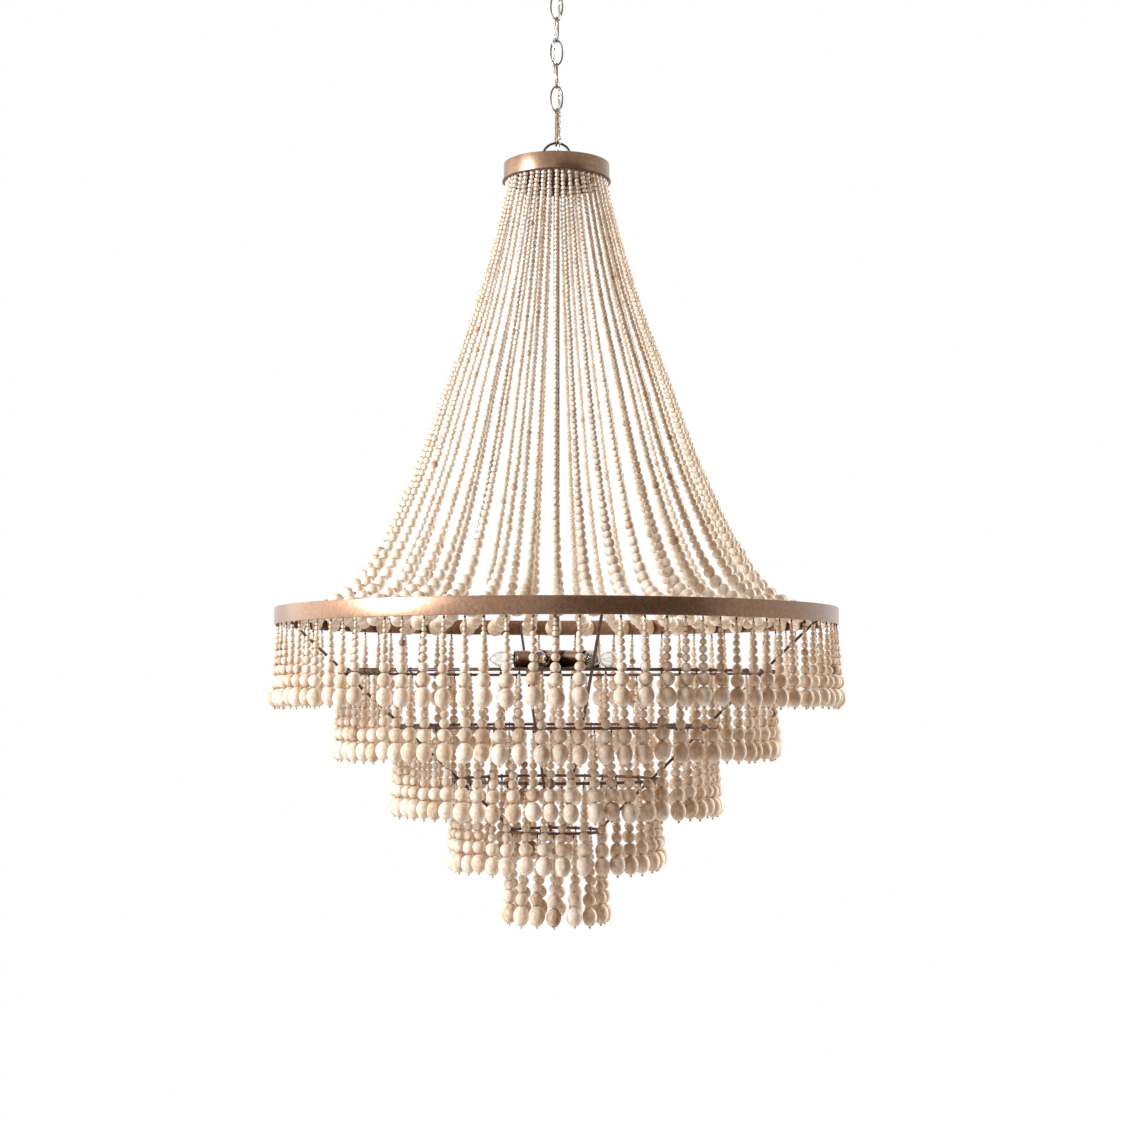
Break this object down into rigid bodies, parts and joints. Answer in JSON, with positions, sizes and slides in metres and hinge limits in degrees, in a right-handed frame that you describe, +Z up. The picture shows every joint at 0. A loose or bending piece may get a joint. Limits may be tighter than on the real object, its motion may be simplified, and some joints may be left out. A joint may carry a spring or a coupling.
{
  "type": "beaded chandelier",
  "caption": "Hanging light: chain, cap ring, bead swags out to a wide flat ring, and stepped rows of hanging bead strands round a hub of small bulbs.",
  "frame": {"origin": "middle of the ceiling strap's upper face, on the ceiling", "axes": "+Z up along the chandelier's axis; -Y towards the viewer; +X to the viewer's right"},
  "size_m": [0.9314, 0.9314, 1.639],
  "materials": {
    "bead_wood": "whitewashed, matte",
    "bronze": "antiqued bronze, satin",
    "chain_metal": "aged, satin",
    "plated_steel": "zinc plated",
    "bulb_glass": "clear",
    "clear_cord": "clear, translucent"
  },
  "bodies": {
    "canopy": {"ceiling_strap": "plated_steel", "ceiling_canopy": "bronze", "canopy_nipple": "plated_steel", "canopy_loop": "bronze", "power_cord": "clear_cord"},
    "chain_link_1": {"chain_link_1": "chain_metal"},
    "chain_link_2": {"chain_link_2": "chain_metal"},
    "chain_link_3": {"chain_link_3": "chain_metal"},
    "chain_link_4": {"chain_link_4": "chain_metal"},
    "chain_link_5": {"chain_link_5": "chain_metal"},
    "chain_link_6": {"chain_link_6": "chain_metal"},
    "long_link": {"long_link": "bronze"},
    "chandelier": {"cap_loop": "bronze", "cap_ring": "bronze", "cap_plate": "bronze", "cap_nut": "bronze", "cap_collar": "bronze", "centre_stem": "bronze", "main_ring": "bronze", "tier_ring_2": "bronze", "tier_ring_3": "bronze", "tier_ring_4": "bronze", "tier_ring_5": "bronze", "rib_1": "bronze", "rib_2": "bronze", "rib_3": "bronze", "rib_4": "bronze", "cross_bars": "bronze", "lamp_hub": "bronze", "hub_finial": "bronze", "socket_cup_1": "bronze", "socket_cup_2": "bronze", "socket_cup_3": "bronze", "socket_cup_4": "bronze", "socket_cup_5": "bronze", "socket_cup_6": "bronze", "bulb_1": "bulb_glass", "bulb_2": "bulb_glass", "bulb_3": "bulb_glass", "bulb_4": "bulb_glass", "bulb_5": "bulb_glass", "bulb_6": "bulb_glass", "tier_1_strands_1": "bead_wood", "tier_1_strands_2": "bead_wood", "tier_1_strands_3": "bead_wood", "tier_1_strands_4": "bead_wood", "tier_2_strands_1": "bead_wood", "tier_2_strands_2": "bead_wood", "tier_2_strands_3": "bead_wood", "tier_2_strands_4": "bead_wood", "tier_3_strands_1": "bead_wood", "tier_3_strands_2": "bead_wood", "tier_4_strands_1": "bead_wood", "tier_4_strands_2": "bead_wood", "tier_5_strands": "bead_wood", "swag_strands_1": "bead_wood", "swag_strands_2": "bead_wood", "swag_strands_3": "bead_wood", "swag_strands_4": "bead_wood"}
  },
  "joints": [
    {"name": "chain_link_1_swing", "type": "hinge", "parent": "canopy", "child": "chain_link_1", "pos_m": [0, 0, -0.0635], "axis": [1, 0, 0], "range_deg": [-12, 12], "deforming": ["power_cord"]},
    {"name": "chain_link_2_swing", "type": "hinge", "parent": "chain_link_1", "child": "chain_link_2", "pos_m": [0, 0, -0.10195], "axis": [0, 1, 0], "range_deg": [-12, 12]},
    {"name": "chain_link_3_swing", "type": "hinge", "parent": "chain_link_2", "child": "chain_link_3", "pos_m": [0, 0, -0.14105], "axis": [1, 0, 0], "range_deg": [-12, 12]},
    {"name": "chain_link_4_swing", "type": "hinge", "parent": "chain_link_3", "child": "chain_link_4", "pos_m": [0, 0, -0.18015], "axis": [0, 1, 0], "range_deg": [-12, 12]},
    {"name": "chain_link_5_swing", "type": "hinge", "parent": "chain_link_4", "child": "chain_link_5", "pos_m": [0, 0, -0.21925], "axis": [1, 0, 0], "range_deg": [-12, 12]},
    {"name": "chain_link_6_swing", "type": "hinge", "parent": "chain_link_5", "child": "chain_link_6", "pos_m": [0, 0, -0.25835], "axis": [0, 1, 0], "range_deg": [-12, 12]},
    {"name": "long_link_swing", "type": "hinge", "parent": "chain_link_6", "child": "long_link", "pos_m": [0, 0, -0.29745], "axis": [1, 0, 0], "range_deg": [-12, 12]},
    {"name": "chandelier_swing", "type": "hinge", "parent": "long_link", "child": "chandelier", "pos_m": [0, 0, -0.3564], "axis": [0, 1, 0], "range_deg": [-12, 12]}
  ]
}
